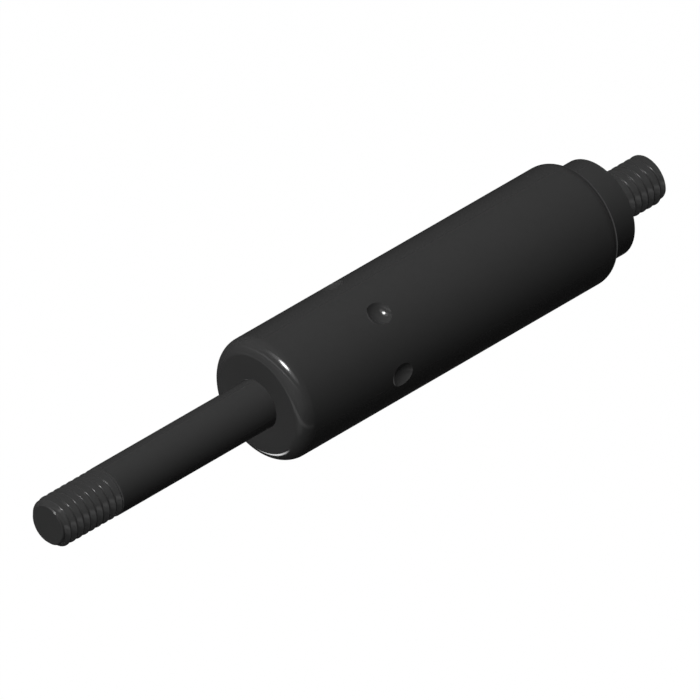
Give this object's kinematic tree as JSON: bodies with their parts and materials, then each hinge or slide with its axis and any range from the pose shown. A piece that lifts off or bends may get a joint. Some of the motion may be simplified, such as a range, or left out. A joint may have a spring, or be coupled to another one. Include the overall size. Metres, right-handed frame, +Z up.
{
  "type": "gas spring",
  "caption": "Small push-type gas spring: dimpled black tube, smooth rod that slides in under gas pressure, and threaded studs at both ends.",
  "frame": {"origin": "on the axis at the rear shoulder, where the rear stud leaves the plug's collar", "axes": "+X along the axis, out of the rod end; +Z up; the rod is fully out"},
  "size_m": [0.0945, 0.015, 0.015],
  "materials": {
    "black_paint": "semi-gloss black coating on steel tube",
    "blackened_plug": "semi-gloss black coating on turned steel",
    "black_nitrided_rod": "nitrided and oxidised steel, ground smooth",
    "bright_steel": "turned and stamped steel",
    "piston_alloy": "turned aluminium",
    "guide_bronze": "sintered bronze, oil soaked",
    "seal_rubber": "nitrile rubber",
    "ptfe": "filled PTFE"
  },
  "bodies": {
    "cylinder": {"pressure_tube": "black_paint", "end_plug": "blackened_plug", "end_plug_o_ring": "seal_rubber", "wiper_ring": "seal_rubber", "guide_bush": "guide_bronze", "backup_ring": "ptfe", "rod_seal": "seal_rubber", "support_washer": "bright_steel", "retainer_collar": "bright_steel"},
    "floating_ring": {"piston_ring": "ptfe"},
    "rod_and_piston": {"piston_rod": "black_nitrided_rod", "stop_disc": "bright_steel", "piston": "piston_alloy", "orifice_disc": "bright_steel", "rear_washer": "bright_steel"}
  },
  "joints": [
    {"name": "rod_stroke", "type": "slide", "parent": "cylinder", "child": "floating_ring", "axis": [-1, 0, 0], "range_m": [0, 0.02], "stiffness_N_per_m": 625, "springref_m": -0.08},
    {"name": "rod_spin", "type": "hinge", "parent": "floating_ring", "child": "rod_and_piston", "pos_m": [0, 0, 0], "axis": [1, 0, 0], "continuous": true}
  ]
}
